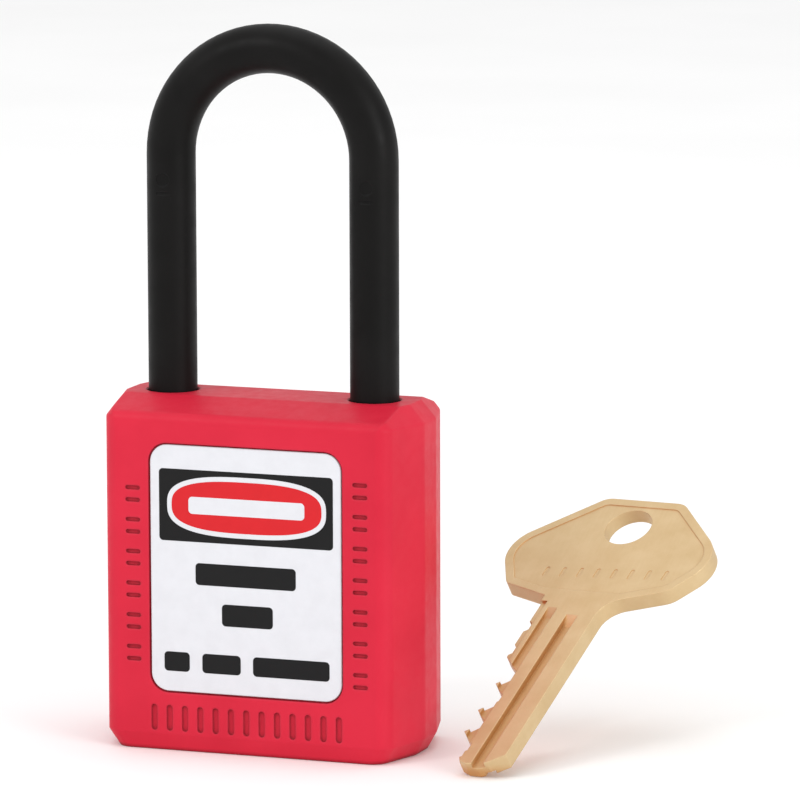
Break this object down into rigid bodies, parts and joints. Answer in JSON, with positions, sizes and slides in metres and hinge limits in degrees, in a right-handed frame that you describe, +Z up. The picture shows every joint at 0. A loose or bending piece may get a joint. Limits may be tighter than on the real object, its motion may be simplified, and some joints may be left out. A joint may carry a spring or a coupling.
{
  "type": "safety padlock",
  "caption": "Safety lockout padlock: rectangular moulded plastic body with a recessed front label, tall round nylon shackle, keyed cylinder opening from below, and a loose flat brass key.",
  "frame": {"origin": "centre of the body's underside, the plane the lock stands on", "axes": "+Z up along the shackle legs, -Y out of the labelled front face, +X to the right when facing the front"},
  "size_m": [0.0715, 0.0411, 0.0883],
  "materials": {
    "red_plastic": "satin moulded thermoplastic",
    "black_nylon": "satin moulded nylon",
    "label_film": "printed laminated film",
    "die_cast_zinc": "die-cast zinc, weighed as cast iron",
    "brass": "machined",
    "key_brass": "stamped and milled",
    "steel": "zinc plated",
    "spring_steel": "oiled spring steel"
  },
  "bodies": {
    "housing": {"body_shell": "red_plastic", "bottom_cap": "red_plastic", "cap_screw": "steel", "front_label": "label_film", "rear_label": "label_film", "cylinder_shell": "die_cast_zinc", "chamber_cover": "brass", "shackle_spring": "spring_steel", "pin_spring_1": "spring_steel", "pin_spring_2": "spring_steel", "pin_spring_3": "spring_steel", "pin_spring_4": "spring_steel", "pin_spring_5": "spring_steel", "pin_spring_6": "spring_steel"},
    "plug_group": {"plug": "brass", "plug_clip": "spring_steel", "cam": "steel"},
    "dog_right_body": {"dog_right": "steel"},
    "dog_left_body": {"dog_left": "steel"},
    "shackle_group": {"shackle": "black_nylon", "shackle_ring": "spring_steel"},
    "key_body": {"key": "key_brass"},
    "key_pin_body_1": {"key_pin_1": "brass"},
    "driver_body_1": {"driver_pin_1": "brass"},
    "key_pin_body_2": {"key_pin_2": "brass"},
    "driver_body_2": {"driver_pin_2": "brass"},
    "key_pin_body_3": {"key_pin_3": "brass"},
    "driver_body_3": {"driver_pin_3": "brass"},
    "key_pin_body_4": {"key_pin_4": "brass"},
    "driver_body_4": {"driver_pin_4": "brass"},
    "key_pin_body_5": {"key_pin_5": "brass"},
    "driver_body_5": {"driver_pin_5": "brass"},
    "key_pin_body_6": {"key_pin_6": "brass"},
    "driver_body_6": {"driver_pin_6": "brass"}
  },
  "joints": [
    {"name": "plug_turn", "type": "hinge", "parent": "housing", "child": "plug_group", "pos_m": [0, -0.002, 0], "axis": [0, 0, 1], "range_deg": [0, 90]},
    {"name": "dog_right_slide", "type": "slide", "parent": "housing", "child": "dog_right_body", "axis": [-1, 0, 0], "range_m": [0, 0.00322]},
    {"name": "dog_left_slide", "type": "slide", "parent": "housing", "child": "dog_left_body", "axis": [1, 0, 0], "range_m": [0, 0.00322]},
    {"name": "shackle_lift", "type": "slide", "parent": "housing", "child": "shackle_group", "axis": [0, 0, 1], "range_m": [0, 0.01522], "deforming": ["shackle_spring"]},
    {"name": "key_lift", "type": "slide", "parent": "housing", "child": "key_body", "axis": [0, 0, 1], "range_m": [0, 0.03]},
    {"name": "key_pin_drop_1", "type": "slide", "parent": "plug_group", "child": "key_pin_body_1", "axis": [0, 1, 0], "range_m": [-0.00265, 0]},
    {"name": "driver_drop_1", "type": "slide", "parent": "housing", "child": "driver_body_1", "axis": [0, 1, 0], "range_m": [-0.00266, 0], "deforming": ["pin_spring_1"]},
    {"name": "key_pin_drop_2", "type": "slide", "parent": "plug_group", "child": "key_pin_body_2", "axis": [0, 1, 0], "range_m": [-0.00275, 0]},
    {"name": "driver_drop_2", "type": "slide", "parent": "housing", "child": "driver_body_2", "axis": [0, 1, 0], "range_m": [-0.00276, 0], "deforming": ["pin_spring_2"]},
    {"name": "key_pin_drop_3", "type": "slide", "parent": "plug_group", "child": "key_pin_body_3", "axis": [0, 1, 0], "range_m": [-0.00045, 0]},
    {"name": "driver_drop_3", "type": "slide", "parent": "housing", "child": "driver_body_3", "axis": [0, 1, 0], "range_m": [-0.00046, 0], "deforming": ["pin_spring_3"]},
    {"name": "key_pin_drop_4", "type": "slide", "parent": "plug_group", "child": "key_pin_body_4", "axis": [0, 1, 0], "range_m": [-0.0001, 0]},
    {"name": "driver_drop_4", "type": "slide", "parent": "housing", "child": "driver_body_4", "axis": [0, 1, 0], "range_m": [-0.00011, 0], "deforming": ["pin_spring_4"]},
    {"name": "key_pin_drop_5", "type": "slide", "parent": "plug_group", "child": "key_pin_body_5", "axis": [0, 1, 0], "range_m": [-0.00065, 0]},
    {"name": "driver_drop_5", "type": "slide", "parent": "housing", "child": "driver_body_5", "axis": [0, 1, 0], "range_m": [-0.00066, 0], "deforming": ["pin_spring_5"]},
    {"name": "key_pin_drop_6", "type": "slide", "parent": "plug_group", "child": "key_pin_body_6", "axis": [0, 1, 0], "range_m": [-0.00005, 0]},
    {"name": "driver_drop_6", "type": "slide", "parent": "housing", "child": "driver_body_6", "axis": [0, 1, 0], "range_m": [-0.00006, 0], "deforming": ["pin_spring_6"]}
  ],
  "couplings": [
    {"joint": "dog_right_slide", "follows": "plug_turn", "m_per_rad": 0.0020372},
    {"joint": "dog_left_slide", "follows": "plug_turn", "m_per_rad": 0.0020372},
    {"joint": "shackle_lift", "follows": "plug_turn", "m_per_rad": 0.0096766},
    {"joint": "driver_drop_1", "follows": "key_pin_drop_1", "ratio": 1},
    {"joint": "driver_drop_2", "follows": "key_pin_drop_2", "ratio": 1},
    {"joint": "driver_drop_3", "follows": "key_pin_drop_3", "ratio": 1},
    {"joint": "driver_drop_4", "follows": "key_pin_drop_4", "ratio": 1},
    {"joint": "driver_drop_5", "follows": "key_pin_drop_5", "ratio": 1},
    {"joint": "driver_drop_6", "follows": "key_pin_drop_6", "ratio": 1}
  ]
}
